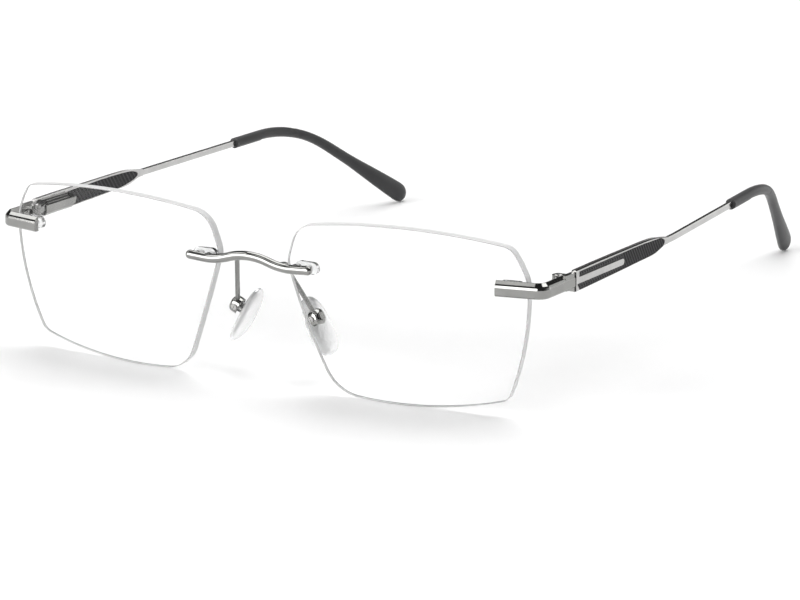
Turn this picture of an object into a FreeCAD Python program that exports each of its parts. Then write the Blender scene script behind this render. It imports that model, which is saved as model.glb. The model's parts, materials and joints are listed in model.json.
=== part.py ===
import FreeCAD, Part
import math
import os

# Rimless eyeglasses with spring-hinged temples, as separate pieces, in millimetres.
#
# The pieces are laid out in a fitting frame: X to the wearer's left, Y back along the temples,
# Z up, and the origin midway between the two lens centres. Each paired piece is drawn on the
# wearer's left and mirrored for the right. At the end the whole pair is tilted and moved, so
# that it rests on the lens edges and the temple tips with the origin under its middle.

VEC = FreeCAD.Vector
ORIGIN = VEC(0, 0, 0)
X_AXIS = VEC(1, 0, 0)
Y_AXIS = VEC(0, 1, 0)
Z_AXIS = VEC(0, 0, 1)

# Resting pose
REST_TILT = -2.615

# Fits between pieces
SNUG = 0.02                 # gap between two pieces of one assembly
RUNNING = 0.05              # radial gap where a piece turns or slides on another

# Lenses: corners as (outward, up, corner radius), each side bulging through its own point
LENS_CENTRE_X = 36.0
LENS_WRAP = 4.17
LENS_PANTOSCOPIC = 4.2
LENS_FRONT_RADIUS = 180.0
LENS_FRONT_Y = -0.35
LENS_THICK = 1.9
LENS_BEVEL = 0.15
LENS_BLANK_DEPTH = 30.0
LENS_CORNERS = [
    (-24.9, 16.45, 6.0),
    (23.7, 16.5, 3.5),
    (27.3, 9.4, 8.0),
    (21.9, -15.6, 2.8),
    (-17.4, -18.0, 8.5),
    (-27.6, 8.6, 5.0),
]
LENS_BULGES = [
    (0.0, 18.65),
    (25.8, 13.1),
    (26.15, -2.8),
    (2.0, -18.75),
    (-22.95, -5.0),
    (-26.35, 12.4),
]

# Compression mounts: two pins through each end of a lens, held in a clear double bushing
PIN_RADIUS = 0.48
PIN_SPACING = 2.8
BUSH_BORE = PIN_RADIUS + SNUG
BUSH_TUBE_RADIUS = 0.75
BUSH_PLATE_THICK = 0.9
BUSH_PLATE_HALF_HEIGHT = 1.25
BUSH_PLATE_INWARD = 3.4
BUSH_PLATE_OUTWARD = 2.1
LENS_HOLE_RADIUS = BUSH_TUBE_RADIUS + SNUG

# Bridge: a round rod that dips beside the lenses and rises over the nose
BRIDGE_RADIUS = 0.97
BRIDGE_Y = -2.25
BRIDGE_END_X = 15.45
BRIDGE_DIP_X = 10.0
BRIDGE_DIP_Z = 7.56
BRIDGE_TOP_Z = 9.15
BRIDGE_END_SLOPE = 3.2
BRIDGE_SHOULDER_RADIUS = 0.8
NASAL_MOUNT = VEC(12.0, 0, 7.66)

# Nose pads: a pad frame with DOWN along the pad, NOSE towards the nose, ACROSS along the screw
PAD_BOX_CENTRE = VEC(10.14, 8.39, -4.70)
PAD_DOWN = VEC(0.480, -0.020, -0.877).normalize()
PAD_ACROSS = PAD_DOWN.cross(VEC(-0.871, 0.126, -0.465)).normalize()
PAD_NOSE = PAD_ACROSS.cross(PAD_DOWN).normalize()
PAD_ARM_RADIUS = 0.5
PAD_ARM_START = VEC(6.3, BRIDGE_Y, 7.98)
PAD_ARM_KNEE = VEC(6.2, 2.75, 7.2)
PAD_ARM_BEND = 2.4
PAD_BOX_HALF_LENGTH = 1.8
PAD_BOX_HALF_WIDTH = 1.65
PAD_BOX_BACK = -1.45
PAD_BOX_RIM = 0.75
PAD_BOX_WALL = 0.6
PAD_BOX_SIDE_ROUND = 1.5
PAD_BOX_BACK_ROUND = 1.1
PAD_SCREW_RADIUS = 0.36
PAD_SCREW_HEAD_RADIUS = 0.62
PAD_SCREW_HEAD_THICK = 0.35
PAD_SCREW_SLOT = 0.18
PAD_SCREW_DEPTH = 0.05
PAD_TAB_RADIUS = 0.8
PAD_BACK = 1.2
PAD_THICK = 2.4
PAD_LENGTH_SHIFT = 1.56
PAD_SIDE_SHIFT = -1.8
PAD_TOP_RADIUS = 3.2
PAD_LOW_RADIUS = 4.3
PAD_LENGTH = 13.0
PAD_EDGE_ROUND = 1.1

# Endpieces: a faceted bar along the lens front that bends back to the hinge
BAR_YAW = 11.3
BAR_START = VEC(56.8, 0.72, 0)
BAR_MID_Z = 8.55
BAR_OUTER_X = 67.2
BAR_THICK = 1.15
BAR_HALF_HEIGHT = 1.58
# the sloping facets along the bar's top, as (depth behind the front, fall from the top)
BAR_FACETS = [(0.88, 0.0), (0.3, 0.6), (0.11, 0.9), (0.0, 1.34)]
BAR_BEND = 2.8
BAR_END_Y = 14.9
BAR_PIN_X = 60.0
FLARE_START_Y = 11.4
FLARE_FALL = 0.88
FLARE_THICK = 1.0

# Hinge
HINGE_X = 64.6
HINGE_Y = 12.5
KNUCKLE_RADIUS = 1.25
KNUCKLE_HALF = 0.65
EAR_INNER = KNUCKLE_HALF + RUNNING
EAR_OUTER = 1.4
EAR_FRONT_Y = 9.4
WEB_END_Y = 10.5
SCREW_RADIUS = 0.55
SCREW_HEAD_RADIUS = 0.95
SCREW_HEAD_THICK = 0.5
SCREW_HEAD_SINK = 0.36
SCREW_SLOT = 0.22

# Spring: a stem through a box on the temple, with a coil spring held by a stop on the stem
STEM_X = 65.4
STEM_RADIUS = 0.36
STEM_END_Y = 24.3
NECK_END_Y = 16.2
STOP_RADIUS = 0.58
STOP_LENGTH = 0.7
SPRING_WIRE_RADIUS = 0.1
SPRING_RADIUS = 0.48
SPRING_TURNS = 11
SPRING_START_Y = 17.35
BOX_INNER_X = 64.5
BOX_FRONT_Y = 16.4
BOX_FRONT_WALL = 0.8
BOX_END_Y = 27.4
BOX_LOW_Z = 6.75
BOX_HIGH_Z = 10.0
BOX_TOP_BEVEL = 1.1
BOX_BORE_RADIUS = 0.65
BOX_BORE_END_Y = 25.6
BOX_CHAMFER = 0.45
BOX_GROOVE = 0.11
BOX_GROOVE_START = 1.0
BOX_GROOVE_END = 8.5

# Temples: a wide plate, then a flat wire that runs on inside the tip sleeve
PLATE_INNER_X = 66.2
PLATE_THICK = 1.1
PLATE_BEVEL = 0.13          # how deep the bevels along the outer edges run
PLATE_TOP_BEVEL_HEIGHT = 0.36
PLATE_LOW_BEVEL_HEIGHT = 0.16
# outlines as (back, up): a curve round the rear end, then straight lines round the front
PLATE_CURVE = [
    (15.1, 10.5), (22.0, 10.6), (34.0, 10.64), (44.0, 10.63), (48.0, 10.47), (51.0, 10.05),
    (53.6, 9.62),
]
PLATE_LOW_CURVE = [
    (53.6, 8.14), (51.0, 7.86), (48.6, 7.22), (46.5, 6.98), (42.0, 6.86), (36.5, 6.68), (29.5, 6.48),
    (22.0, 6.27), (15.1, 6.12),
]
OUTER_CURVE = [
    (16.3, 10.08), (22.6, 10.13), (33.6, 10.22), (44.0, 10.21), (48.8, 10.06), (51.1, 9.72),
    (51.95, 9.0), (51.5, 8.35), (50.1, 7.85), (48.4, 7.47), (46.4, 7.22), (42.0, 7.06), (36.5, 6.86),
    (29.5, 6.66), (22.0, 6.45), (16.35, 6.32),
]
OUTER_FRONT = [(15.45, 7.5), (16.3, 8.4)]
INNER_CURVE = [
    (25.9, 9.95), (36.0, 10.2), (44.0, 10.22), (48.2, 10.05), (50.6, 9.6), (51.6, 8.95), (50.9, 8.3),
    (49.1, 7.75), (46.5, 7.3), (42.0, 7.05), (36.0, 6.86), (29.5, 6.67), (26.4, 6.6),
]
OUTER_DEPTH = 0.4
INNER_DEPTH = 0.35
STRIPE_START = (14.9, 8.3)
STRIPE_END = (34.1, 8.33)
STRIPE_HALF = 0.66
WIRE_HALF_HEIGHT = 0.73
WIRE_HALF_THICK = 0.45
WIRE_ROUND = 0.25
ARM_LINE = [
    VEC(66.75, 50.0, 8.86),
    VEC(66.7, 56.0, 8.86),
    VEC(62.78, 106.0, 10.05),
    VEC(59.2, 116.1, 4.87),
    VEC(51.07, 139.5, -11.68),
]
ARM_BENDS = [50.0, 31.0, 38.0]
CORE_SHORT = 6.0            # how far the wire stops before the end of the sleeve
SLEEVE_START_Y = 87.0
SLEEVE_ROUND_LENGTH = 9.0
SLEEVE_RADIUS = 1.2
# sleeve sections: distance behind the round part, half width in the drop plane, half thickness
SLEEVE_SECTIONS = [
    (-1.0, 1.15, 1.15),
    (3.0, 1.15, 1.15),
    (12.0, 1.12, 1.12),
    (22.0, 1.17, 1.13),
    (28.5, 1.26, 1.15),
    (34.0, 1.47, 1.2),
    (39.0, 1.8, 1.28),
    (43.5, 2.06, 1.38),
    (47.5, 2.24, 1.42),
]
SLEEVE_END_ROUND = 2.5


# ---------------------------------------------------------------- helpers

def line(start, end):
    return Part.LineSegment(start, end).toShape()


def arc(start, middle, end):
    return Part.Arc(start, middle, end).toShape()


def spline(points):
    curve = Part.BSplineCurve()
    curve.interpolate(points)
    return curve.toShape()


def polygon_prism(points, travel):
    """The closed polygon through the points, pushed along the vector travel."""
    return Part.Face(Part.makePolygon(points + points[:1])).extrude(travel)


def rod(start, end, radius):
    """A round rod between two points."""
    axis = end - start
    return Part.makeCylinder(radius, axis.Length, start, axis)


def rounded_path(points, radii):
    """Straight runs through the points, joined by tangent arcs of the given radii."""
    edges = []
    run_start = points[0]
    for before, corner, after, radius in zip(points, points[1:], points[2:], radii):
        inward = (before - corner).normalize()
        outward = (after - corner).normalize()
        half_turn = (math.pi - inward.getAngle(outward)) / 2
        setback = radius * math.tan(half_turn)
        middle = (inward + outward).normalize()
        arc_start = corner + inward * setback
        arc_end = corner + outward * setback
        arc_middle = corner + middle * (radius / math.cos(half_turn) - radius)
        edges.append(line(run_start, arc_start))
        edges.append(arc(arc_start, arc_middle, arc_end))
        run_start = arc_end
    edges.append(line(run_start, points[-1]))
    return Part.Wire(edges)


def sweep(path, profile, level=None):
    """The profile carried along the path; level is a direction that stays across the path."""
    shell = Part.BRepOffsetAPI.MakePipeShell(path)
    if level:
        shell.setBiNormalMode(level)
    shell.add(profile)
    shell.build()
    shell.makeSolid()
    return shell.shape()


def rounded_rectangle(centre, half_x, half_z, radius):
    """A closed outline round a centre, in the plane of X and Z."""
    block = Part.makeBox(2 * half_x, 1, 2 * half_z, centre - VEC(half_x, 0, half_z))
    upright = [edge for edge in block.Edges if edge.BoundBox.YLength > SNUG]
    face = min(block.makeFillet(radius, upright).Faces, key=lambda side: side.BoundBox.YMax)
    return face.OuterWire


def round_wire(path, radius):
    """A round wire bent along a path."""
    first = path.Edges[0]
    ring = Part.Circle(first.valueAt(first.FirstParameter), first.tangentAt(first.FirstParameter), radius)
    return sweep(path, Part.Wire(ring.toShape()))


def one_solid(shape):
    """The piece itself, without the empty solids that a union of tangent surfaces can leave."""
    return max(shape.Solids, key=lambda solid: solid.Volume)


def settle(shape):
    """Tilt a piece from the fitting frame into the resting pose."""
    return shape.rotated(ORIGIN, X_AXIS, REST_TILT)


# ---------------------------------------------------------------- lenses and their mounts

def lens_frame(shape):
    """Move a shape drawn at the origin, facing -Y, to the left lens."""
    turned = shape.rotated(ORIGIN, Z_AXIS, LENS_WRAP)
    tilted = turned.rotated(ORIGIN, X_AXIS, LENS_PANTOSCOPIC)
    return tilted.translated(VEC(LENS_CENTRE_X, LENS_FRONT_Y, 0))


def lens_ball(depth):
    """The ball whose surface lies at a depth behind the front of the left lens."""
    ball = Part.makeSphere(LENS_FRONT_RADIUS - depth, VEC(0, LENS_FRONT_RADIUS, 0))
    return lens_frame(ball)


def lens_surface_y(x, z, depth):
    """Where a line along Y through (x, z) meets the left lens at a depth behind its front."""
    wrap = math.radians(LENS_WRAP)
    tilt = math.radians(LENS_PANTOSCOPIC)
    centre = VEC(-math.sin(wrap), math.cos(wrap) * math.cos(tilt), math.cos(wrap) * math.sin(tilt))
    centre = centre * LENS_FRONT_RADIUS + VEC(LENS_CENTRE_X, LENS_FRONT_Y, 0)
    aside = (x - centre.x) ** 2 + (z - centre.z) ** 2
    return centre.y - math.sqrt((LENS_FRONT_RADIUS - depth) ** 2 - aside)


def lens_blank():
    """The lens outline as a deep prism along Y, with its corners rounded."""
    start = -LENS_BLANK_DEPTH / 3
    points = [VEC(u, start, v) for u, v, radius in LENS_CORNERS]
    bulges = [VEC(u, start, v) for u, v in LENS_BULGES]
    sides = zip(points, bulges, points[1:] + points[:1])
    outline = Part.Wire([arc(start, bulge, end) for start, bulge, end in sides])
    blank = Part.Face(outline).extrude(VEC(0, LENS_BLANK_DEPTH, 0))
    for point, corner in zip(points, LENS_CORNERS):
        near = [edge for edge in blank.Edges if edge.distToShape(Part.Vertex(point))[0] < SNUG]
        upright = [edge for edge in near if abs(edge.tangentAt(edge.FirstParameter).y) > 0.999]
        blank = blank.makeFillet(corner[2], upright)
    return lens_frame(blank)


def nasal_pins(radius, start, end):
    """Two rods along Y at the inner end of the left lens, from Y start to Y end."""
    rods = []
    for side in (-0.5, 0.5):
        x = NASAL_MOUNT.x + side * PIN_SPACING
        rods.append(rod(VEC(x, start, NASAL_MOUNT.z), VEC(x, end, NASAL_MOUNT.z), radius))
    return rods


def bar_direction():
    yaw = math.radians(BAR_YAW)
    return VEC(math.cos(yaw), math.sin(yaw), 0)


def bar_inward():
    yaw = math.radians(BAR_YAW)
    return VEC(-math.sin(yaw), math.cos(yaw), 0)


def endpiece_mount():
    """The point midway between the two pins of the left endpiece, on the bar's front."""
    run = (BAR_PIN_X - BAR_START.x) / bar_direction().x
    return BAR_START + bar_direction() * run + Z_AXIS * BAR_MID_Z


def endpiece_pins(radius, start, end):
    """Two rods square to the bar, between two depths behind its front."""
    rods = []
    for side in (-0.5, 0.5):
        root = endpiece_mount() + bar_direction() * (side * PIN_SPACING)
        rods.append(rod(root + bar_inward() * start, root + bar_inward() * end, radius))
    return rods


def lens():
    blank = lens_blank().common(lens_ball(0)).cut(lens_ball(LENS_THICK))
    rims = [edge for edge in blank.Edges if edge.Length > 2 * LENS_THICK]
    blank = blank.makeChamfer(LENS_BEVEL, rims)
    holes = nasal_pins(LENS_HOLE_RADIUS, -5, 5) + endpiece_pins(LENS_HOLE_RADIUS, -5, 8)
    return blank.cut(Part.makeCompound(holes))


def stadium(low, high, half_height, depth):
    """A flat round-ended plate in XZ from low to high along X, pushed along Y."""
    middle = Part.makeBox(high - low - 2 * half_height, depth, 2 * half_height,
                          VEC(low + half_height, 0, -half_height))
    ends = [Part.makeCylinder(half_height, depth, VEC(x, 0, 0), Y_AXIS)
            for x in (low + half_height, high - half_height)]
    return middle.fuse(ends).removeSplitter()


def bushing(plate, tubes, bores):
    """A clear double bushing: a plate on the back of the lens and a tube through each hole."""
    layer = lens_ball(LENS_THICK + SNUG).cut(lens_ball(LENS_THICK + SNUG + BUSH_PLATE_THICK))
    ahead = lens_ball(0).cut(lens_ball(LENS_THICK + BUSH_PLATE_THICK / 2))
    sleeves = [tube.common(ahead) for tube in tubes]
    return plate.common(layer).fuse(sleeves).cut(Part.makeCompound(bores)).removeSplitter()


def bridge_bushing():
    plate = stadium(-BUSH_PLATE_OUTWARD, BUSH_PLATE_INWARD, BUSH_PLATE_HALF_HEIGHT, 8)
    plate = plate.translated(NASAL_MOUNT - Y_AXIS * 3)
    return bushing(plate, nasal_pins(BUSH_TUBE_RADIUS, -5, 5), nasal_pins(BUSH_BORE, -6, 6))


def endpiece_bushing():
    plate = stadium(-BUSH_PLATE_INWARD, BUSH_PLATE_OUTWARD, BUSH_PLATE_HALF_HEIGHT, 8)
    plate = plate.rotated(ORIGIN, Z_AXIS, BAR_YAW).translated(endpiece_mount())
    return bushing(plate, endpiece_pins(BUSH_TUBE_RADIUS, -2, 8), endpiece_pins(BUSH_BORE, -2, 9))


# ---------------------------------------------------------------- bridge

def bridge_line():
    """Half of the bridge's centre line, from its top out to the straight end."""
    rise = BRIDGE_TOP_Z - BRIDGE_DIP_Z
    bend = (BRIDGE_DIP_X ** 2 + rise ** 2) / (4 * rise)
    sweep_angle = math.asin(BRIDGE_DIP_X / (2 * bend))
    slope = math.radians(BRIDGE_END_SLOPE)

    def crown(angle):
        return VEC(bend * math.sin(angle), BRIDGE_Y, BRIDGE_TOP_Z - bend + bend * math.cos(angle))

    def dip(angle):
        return VEC(BRIDGE_DIP_X + bend * math.sin(angle), BRIDGE_Y,
                   BRIDGE_DIP_Z + bend - bend * math.cos(angle))

    run = BRIDGE_END_X - BRIDGE_RADIUS - dip(slope).x
    end = dip(slope) + VEC(run, 0, run * math.tan(slope))
    return [
        arc(crown(0), crown(sweep_angle / 2), crown(sweep_angle)),
        arc(crown(sweep_angle), dip((slope - sweep_angle) / 2), dip(slope)),
        line(dip(slope), end),
    ]


def half_bridge():
    path = Part.Wire(bridge_line())
    end = path.Edges[-1].Vertexes[-1].Point
    back = lens_surface_y(NASAL_MOUNT.x, NASAL_MOUNT.z, LENS_THICK + BUSH_PLATE_THICK)
    shoulder_end = lens_surface_y(NASAL_MOUNT.x + PIN_SPACING / 2, NASAL_MOUNT.z, 0) - 3 * SNUG
    pieces = [Part.makeSphere(BRIDGE_RADIUS, end)]
    pieces += nasal_pins(BRIDGE_SHOULDER_RADIUS, BRIDGE_Y, shoulder_end)
    pieces += nasal_pins(PIN_RADIUS, BRIDGE_Y, back - 3 * SNUG)
    return round_wire(path, BRIDGE_RADIUS).fuse(pieces)


def bridge():
    half = half_bridge()
    return half.fuse(half.mirror(ORIGIN, X_AXIS)).removeSplitter()


# ---------------------------------------------------------------- nose pads

def pad_point(down, across, nose):
    return PAD_BOX_CENTRE + PAD_DOWN * down + PAD_ACROSS * across + PAD_NOSE * nose


def pad_placed(shape):
    """Move a shape drawn with X down the pad, Y across it and Z to the nose."""
    turn = FreeCAD.Rotation(PAD_DOWN, PAD_ACROSS, PAD_NOSE, "ZXY")
    placed = shape.copy()
    placed.Placement = FreeCAD.Placement(PAD_BOX_CENTRE, turn).multiply(shape.Placement)
    return placed


def pad_arm():
    """A bent wire from the bridge to the pad box, trimmed where it meets them."""
    path = rounded_path([PAD_ARM_START, PAD_ARM_KNEE, PAD_BOX_CENTRE], [PAD_ARM_BEND])
    wire = round_wire(path, PAD_ARM_RADIUS)
    return wire.cut(bridge()).cut(pad_placed(pad_box_block()))


def pad_box_block():
    """The rounded outer shape of the pad box, drawn in the pad frame."""
    height = PAD_BOX_RIM - PAD_BOX_BACK
    block = Part.makeBox(2 * PAD_BOX_HALF_LENGTH, 2 * PAD_BOX_HALF_WIDTH, height,
                         VEC(-PAD_BOX_HALF_LENGTH, -PAD_BOX_HALF_WIDTH, PAD_BOX_BACK))
    upright = [edge for edge in block.Edges if abs(edge.tangentAt(0).z) > 0.999]
    block = block.makeFillet(PAD_BOX_SIDE_ROUND, upright)
    back = [edge for edge in block.Edges if edge.BoundBox.ZMax < PAD_BOX_BACK + SNUG]
    return block.makeFillet(PAD_BOX_BACK_ROUND, back)


def pad_box():
    """A small cup, open towards the pad and at its lower end, with a screw through its cheeks."""
    room_half = PAD_BOX_HALF_WIDTH - PAD_BOX_WALL
    floor = PAD_BOX_BACK + PAD_BOX_WALL
    room = Part.makeBox(2 * PAD_BOX_HALF_LENGTH, 2 * room_half, PAD_BOX_RIM + SNUG - floor,
                        VEC(PAD_BOX_WALL - PAD_BOX_HALF_LENGTH, -room_half, floor))
    bore = pad_screw_rod(PAD_SCREW_RADIUS + SNUG, 2 * PAD_BOX_HALF_WIDTH)
    return pad_placed(pad_box_block().cut(room).cut(bore))


def pad_screw_rod(radius, half_length):
    """A rod across the pad frame, on the line of the pad screw."""
    start = VEC(0, -half_length, PAD_SCREW_DEPTH)
    return rod(start, start + Y_AXIS * (2 * half_length), radius)


def pad_screw():
    """A slotted screw across the pad box, its head on the outer cheek."""
    cheek = PAD_BOX_HALF_WIDTH + SNUG
    top = cheek + PAD_SCREW_HEAD_THICK
    centre = VEC(0, 0, PAD_SCREW_DEPTH)
    shank = rod(centre - Y_AXIS * PAD_BOX_HALF_WIDTH, centre + Y_AXIS * top, PAD_SCREW_RADIUS)
    head = rod(centre + Y_AXIS * cheek, centre + Y_AXIS * top, PAD_SCREW_HEAD_RADIUS)
    slot = Part.makeBox(4 * PAD_SCREW_HEAD_RADIUS, PAD_SCREW_SLOT, PAD_SCREW_SLOT,
                        centre + VEC(-2 * PAD_SCREW_HEAD_RADIUS, top - PAD_SCREW_SLOT, -PAD_SCREW_SLOT / 2))
    return pad_placed(shank.fuse(head).cut(slot))


def nose_pad():
    """An egg-shaped pad, wider below and set back on its tab, which turns on the screw."""
    middle = PAD_LENGTH_SHIFT
    top_x = middle - PAD_LENGTH / 2 + PAD_TOP_RADIUS
    low_x = middle + PAD_LENGTH / 2 - PAD_LOW_RADIUS
    lean = math.asin((PAD_LOW_RADIUS - PAD_TOP_RADIUS) / (low_x - top_x))

    def rim(centre_x, radius, side):
        return VEC(centre_x - radius * math.sin(lean), PAD_SIDE_SHIFT + side * radius * math.cos(lean), PAD_BACK)

    outline = Part.Wire([
        arc(rim(top_x, PAD_TOP_RADIUS, -1), VEC(top_x - PAD_TOP_RADIUS, PAD_SIDE_SHIFT, PAD_BACK),
            rim(top_x, PAD_TOP_RADIUS, 1)),
        line(rim(top_x, PAD_TOP_RADIUS, 1), rim(low_x, PAD_LOW_RADIUS, 1)),
        arc(rim(low_x, PAD_LOW_RADIUS, 1), VEC(low_x + PAD_LOW_RADIUS, PAD_SIDE_SHIFT, PAD_BACK),
            rim(low_x, PAD_LOW_RADIUS, -1)),
        line(rim(low_x, PAD_LOW_RADIUS, -1), rim(top_x, PAD_TOP_RADIUS, -1)),
    ])
    body = Part.Face(outline).extrude(VEC(0, 0, PAD_THICK))
    rims = [edge for edge in body.Edges if edge.BoundBox.ZLength < SNUG]
    body = body.makeFillet(PAD_EDGE_ROUND, rims)
    tab_half = PAD_BOX_HALF_WIDTH - PAD_BOX_WALL - RUNNING
    tab = rod(VEC(0, -tab_half, PAD_SCREW_DEPTH), VEC(0, tab_half, PAD_SCREW_DEPTH), PAD_TAB_RADIUS)
    stem = Part.makeBox(2 * PAD_TAB_RADIUS, 2 * tab_half, PAD_BACK + PAD_THICK / 2 - PAD_SCREW_DEPTH,
                        VEC(-PAD_TAB_RADIUS, -tab_half, PAD_SCREW_DEPTH))
    bore = pad_screw_rod(PAD_SCREW_RADIUS + RUNNING, PAD_BOX_HALF_WIDTH)
    return pad_placed(body.fuse([tab, stem]).cut(bore).removeSplitter())


# ---------------------------------------------------------------- endpieces and hinges

def bar():
    """The faceted bar, bent from the lens front back to the hinge."""
    start = BAR_START + Z_AXIS * BAR_MID_Z
    corner_run = (BAR_OUTER_X - BAR_START.x) / bar_direction().x
    corner = start + bar_direction() * corner_run
    end = VEC(BAR_OUTER_X, BAR_END_Y, BAR_MID_Z)
    path = rounded_path([start, corner, end], [BAR_BEND])
    top = BAR_HALF_HEIGHT
    section = [(depth, top - fall) for depth, fall in BAR_FACETS] + [
        (0.0, 0.5 - top),
        (0.06, 0.25 - top),
        (0.3, -top),
        (BAR_THICK, -top),
        (BAR_THICK, top),
    ]
    base = BAR_START + Z_AXIS * BAR_MID_Z
    corners = [base + bar_inward() * depth + Z_AXIS * rise for depth, rise in section]
    return sweep(path, Part.makePolygon(corners + corners[:1]), Z_AXIS)


def flare():
    """The wider rear end of the endpiece, matching the front of the temple plate."""
    x = BAR_OUTER_X - BAR_THICK
    low = BAR_MID_Z - BAR_HALF_HEIGHT
    high = BAR_MID_Z + BAR_HALF_HEIGHT
    middle_y = (FLARE_START_Y + BAR_END_Y) / 2
    outline = Part.Wire([
        arc(VEC(x, FLARE_START_Y, low), VEC(x, middle_y, low - 0.3 * FLARE_FALL),
            VEC(x, BAR_END_Y, low - FLARE_FALL)),
        line(VEC(x, BAR_END_Y, low - FLARE_FALL), VEC(x, BAR_END_Y, high)),
        line(VEC(x, BAR_END_Y, high), VEC(x, FLARE_START_Y, high)),
        line(VEC(x, FLARE_START_Y, high), VEC(x, FLARE_START_Y, low)),
    ])
    return Part.Face(outline).extrude(VEC(FLARE_THICK, 0, 0))


def hinge_prism(outline, low, high):
    """A prism over plan points, between two heights measured from the hinge's middle."""
    points = [VEC(x, y, BAR_MID_Z + low) for x, y in outline]
    return polygon_prism(points, VEC(0, 0, high - low))


def hinge_rod(radius, low, high):
    start = VEC(HINGE_X, HINGE_Y, BAR_MID_Z + low)
    return rod(start, start + Z_AXIS * (high - low), radius)


def hinge_leaf():
    """Two ears round the hinge screw, on a leaf along the inner side of the endpiece."""
    root_x = BAR_OUTER_X - BAR_THICK + 0.1
    ear = [
        (root_x, EAR_FRONT_Y),
        (root_x, HINGE_Y + KNUCKLE_RADIUS + 0.15),
        (HINGE_X, HINGE_Y + KNUCKLE_RADIUS),
        (HINGE_X - KNUCKLE_RADIUS, HINGE_Y),
    ]
    web = [(root_x, EAR_FRONT_Y), (root_x, WEB_END_Y), (HINGE_X, WEB_END_Y)]
    pieces = [hinge_prism(web, -EAR_INNER - SNUG, EAR_INNER + SNUG)]
    for low, high in ((-EAR_OUTER, -EAR_INNER), (EAR_INNER, EAR_OUTER)):
        pieces.append(hinge_prism(ear, low, high))
        pieces.append(hinge_rod(KNUCKLE_RADIUS, low, high))
    return pieces


def endpiece():
    lens_back = lens_surface_y(BAR_PIN_X, BAR_MID_Z, LENS_THICK + BUSH_PLATE_THICK)
    pin_length = (lens_back - endpiece_mount().y) * bar_inward().y - 3 * SNUG
    pins = endpiece_pins(PIN_RADIUS, BAR_THICK / 2, pin_length)
    solid = bar().fuse([flare()] + hinge_leaf() + pins)
    bore = hinge_rod(SCREW_RADIUS + SNUG, -2 * EAR_OUTER, 2 * EAR_OUTER)
    seat = hinge_rod(SCREW_HEAD_RADIUS + SNUG, EAR_OUTER - SCREW_HEAD_SINK, 2 * EAR_OUTER)
    return solid.cut(bore).cut(seat).removeSplitter()


def hinge_screw():
    head_low = EAR_OUTER - SCREW_HEAD_SINK + SNUG
    head_high = head_low + SCREW_HEAD_THICK
    shank = hinge_rod(SCREW_RADIUS, -EAR_OUTER - 0.1, head_low + SNUG)
    head = hinge_rod(SCREW_HEAD_RADIUS, head_low, head_high)
    slot = Part.makeBox(2 * SCREW_HEAD_RADIUS, SCREW_SLOT, SCREW_SLOT,
                        VEC(HINGE_X - SCREW_HEAD_RADIUS, HINGE_Y - SCREW_SLOT / 2,
                            BAR_MID_Z + head_high - SCREW_SLOT))
    rim = [edge for edge in head.Edges if edge.BoundBox.ZMin > BAR_MID_Z + head_high - SNUG]
    return shank.fuse(head.makeChamfer(0.12, rim)).cut(slot)


def hinge_carriage():
    """The moving knuckle, its neck and the stem that the spring sits on."""
    neck = [
        (HINGE_X - 1.1, HINGE_Y + 0.4),
        (STEM_X - 0.7, NECK_END_Y),
        (STEM_X + 0.55, NECK_END_Y),
        (STEM_X + 0.55, HINGE_Y + 3.0),
        (STEM_X + 0.1, HINGE_Y + 2.2),
        (HINGE_X + 1.1, HINGE_Y + 0.4),
    ]
    stem = rod(VEC(STEM_X, NECK_END_Y - 0.5, BAR_MID_Z), VEC(STEM_X, STEM_END_Y, BAR_MID_Z), STEM_RADIUS)
    knuckle = hinge_rod(KNUCKLE_RADIUS, -KNUCKLE_HALF, KNUCKLE_HALF)
    bore = hinge_rod(SCREW_RADIUS + RUNNING, -EAR_OUTER, EAR_OUTER)
    solid = knuckle.fuse([hinge_prism(neck, -KNUCKLE_HALF, KNUCKLE_HALF), stem])
    return solid.cut(bore).removeSplitter()


def spring_stop():
    start = VEC(STEM_X, STEM_END_Y - STOP_LENGTH, BAR_MID_Z)
    collar = rod(start, start + Y_AXIS * STOP_LENGTH, STOP_RADIUS)
    return collar.cut(rod(start - Y_AXIS, start + Y_AXIS * (2 * STOP_LENGTH), STEM_RADIUS + SNUG))


def flex_spring():
    length = STEM_END_Y - STOP_LENGTH - SPRING_START_Y - 3 * SPRING_WIRE_RADIUS
    helix = Part.makeHelix(length / SPRING_TURNS, length, SPRING_RADIUS)
    ring = Part.Circle(VEC(SPRING_RADIUS, 0, 0), Y_AXIS, SPRING_WIRE_RADIUS)
    coil = Part.Wire(helix.Edges).makePipeShell([Part.Wire(ring.toShape())], True, True)
    coil = coil.rotated(ORIGIN, X_AXIS, -90)
    return coil.translated(VEC(STEM_X, SPRING_START_Y + SPRING_WIRE_RADIUS, BAR_MID_Z))


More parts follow.
